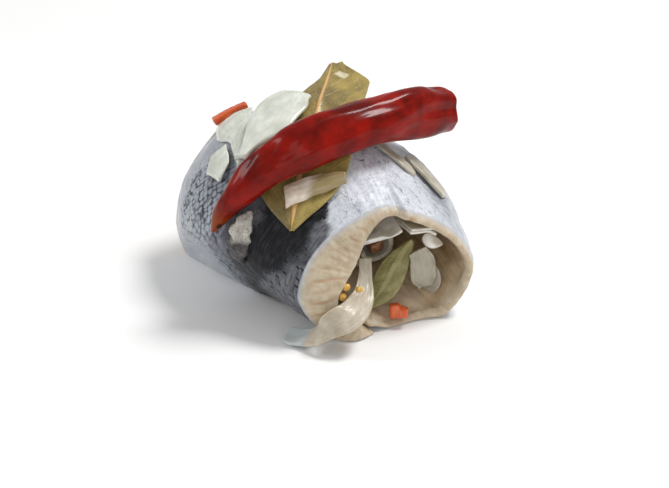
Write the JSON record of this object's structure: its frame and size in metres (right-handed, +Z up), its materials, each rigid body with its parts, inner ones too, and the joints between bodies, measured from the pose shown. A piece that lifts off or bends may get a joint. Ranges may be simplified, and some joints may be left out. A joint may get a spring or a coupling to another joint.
{
  "type": "rollmop",
  "caption": "Rolled pickled herring fillet, skin side out, round onion and carrot, topped with bay leaf, onion slices and a whole red chilli.",
  "frame": {"origin": "centre of the bounding box in plan, on the plane the roll lies on", "axes": "+X along the roll's axis, out of its open mouth; +Z up; -Y is the side with the chilli's tip"},
  "size_m": [0.0736, 0.0684, 0.0566],
  "materials": {
    "herring": "wet silver skin with a blue-black back, pale beige flesh on the cut edges",
    "onion": "wet translucent white pickled onion",
    "bay_leaf": "dull olive-tan leaf with a paler midrib",
    "carrot": "wet orange pickled carrot",
    "chilli": "glossy dark red wrinkled skin",
    "mustard_seed": "smooth yellow seed coat"
  },
  "bodies": {
    "root": {"fillet": "herring", "bay_leaf_top": "bay_leaf", "onion_on_leaf": "onion", "onion_top_a": "onion", "onion_top_b": "onion", "onion_top_c": "onion", "carrot_top": "carrot", "onion_right": "onion", "onion_right_inner": "onion", "chilli": "chilli", "onion_mouth_upper": "onion", "onion_mouth_lower": "onion", "onion_lump": "onion", "onion_hanging": "onion", "onion_pale": "onion", "bay_leaf_mouth": "bay_leaf", "carrot_mouth": "carrot", "onion_tail": "onion", "carrot_core": "carrot", "onion_ring_inner": "onion", "onion_ring_middle": "onion", "onion_ring_outer": "onion", "onion_ring_top": "onion"}
  },
  "joints": []
}
